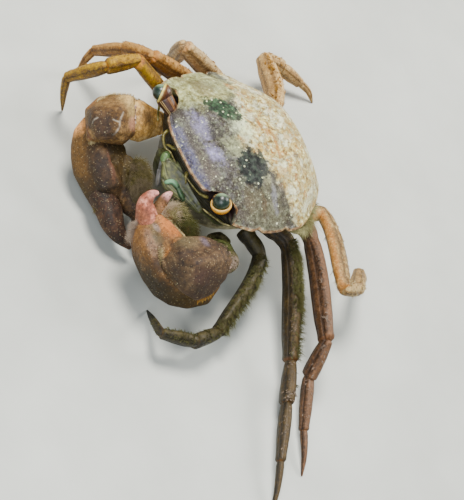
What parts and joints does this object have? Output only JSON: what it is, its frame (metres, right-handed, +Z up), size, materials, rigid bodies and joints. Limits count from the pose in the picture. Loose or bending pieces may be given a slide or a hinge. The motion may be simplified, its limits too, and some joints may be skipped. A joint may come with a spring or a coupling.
{
  "type": "brush-clawed shore crab",
  "caption": "Shore crab with large tufted claws folded in front of the mouth and slender walking legs, a still model that stands on its leg tips.",
  "frame": {"origin": "on the ground, below the middle of the bounding box", "axes": "+Z up; the crab faces -Y and its own left side is towards +X"},
  "size_m": [0.0666, 0.0498, 0.0171],
  "materials": {
    "shell": "satin, finely granular",
    "underside": "satin",
    "eye": "glossy",
    "eyestalk": "satin",
    "feeler": "satin",
    "mouth_plate": "satin",
    "claw": "satin, speckled",
    "claw_finger": "satin, speckled",
    "right_leg": "satin",
    "left_leg": "satin, hairy"
  },
  "bodies": {
    "root": {"breast_plate": "underside", "carapace": "shell", "left_antenna": "feeler", "left_antennule": "feeler", "left_claw_arm": "claw", "left_claw_finger": "claw_finger", "left_claw_palm": "claw", "left_claw_wrist": "claw", "left_eye": "eye", "left_eyestalk": "eyestalk", "left_leg_2_carpus": "left_leg", "left_leg_2_dactylus": "left_leg", "left_leg_2_merus": "left_leg", "left_leg_2_propodus": "left_leg", "left_leg_3_carpus": "left_leg", "left_leg_3_dactylus": "left_leg", "left_leg_3_merus": "left_leg", "left_leg_3_propodus": "left_leg", "left_leg_4_carpus": "left_leg", "left_leg_4_dactylus": "left_leg", "left_leg_4_merus": "left_leg", "left_leg_4_propodus": "left_leg", "left_leg_5_carpus": "left_leg", "left_leg_5_dactylus": "left_leg", "left_leg_5_merus": "left_leg", "left_leg_5_propodus": "left_leg", "left_mouth_plate": "mouth_plate", "right_antenna": "feeler", "right_antennule": "feeler", "right_claw_arm": "claw", "right_claw_finger": "claw_finger", "right_claw_palm": "claw", "right_claw_wrist": "claw", "right_eye": "eye", "right_eyestalk": "eyestalk", "right_leg_2_carpus": "right_leg", "right_leg_2_dactylus": "right_leg", "right_leg_2_merus": "right_leg", "right_leg_2_propodus": "right_leg", "right_leg_3_carpus": "right_leg", "right_leg_3_dactylus": "right_leg", "right_leg_3_merus": "right_leg", "right_leg_3_propodus": "right_leg", "right_leg_4_carpus": "right_leg", "right_leg_4_dactylus": "right_leg", "right_leg_4_merus": "right_leg", "right_leg_4_propodus": "right_leg", "right_leg_5_carpus": "right_leg", "right_leg_5_dactylus": "right_leg", "right_leg_5_merus": "right_leg", "right_leg_5_propodus": "right_leg", "right_mouth_plate": "mouth_plate", "tail_flap": "underside"}
  },
  "joints": []
}
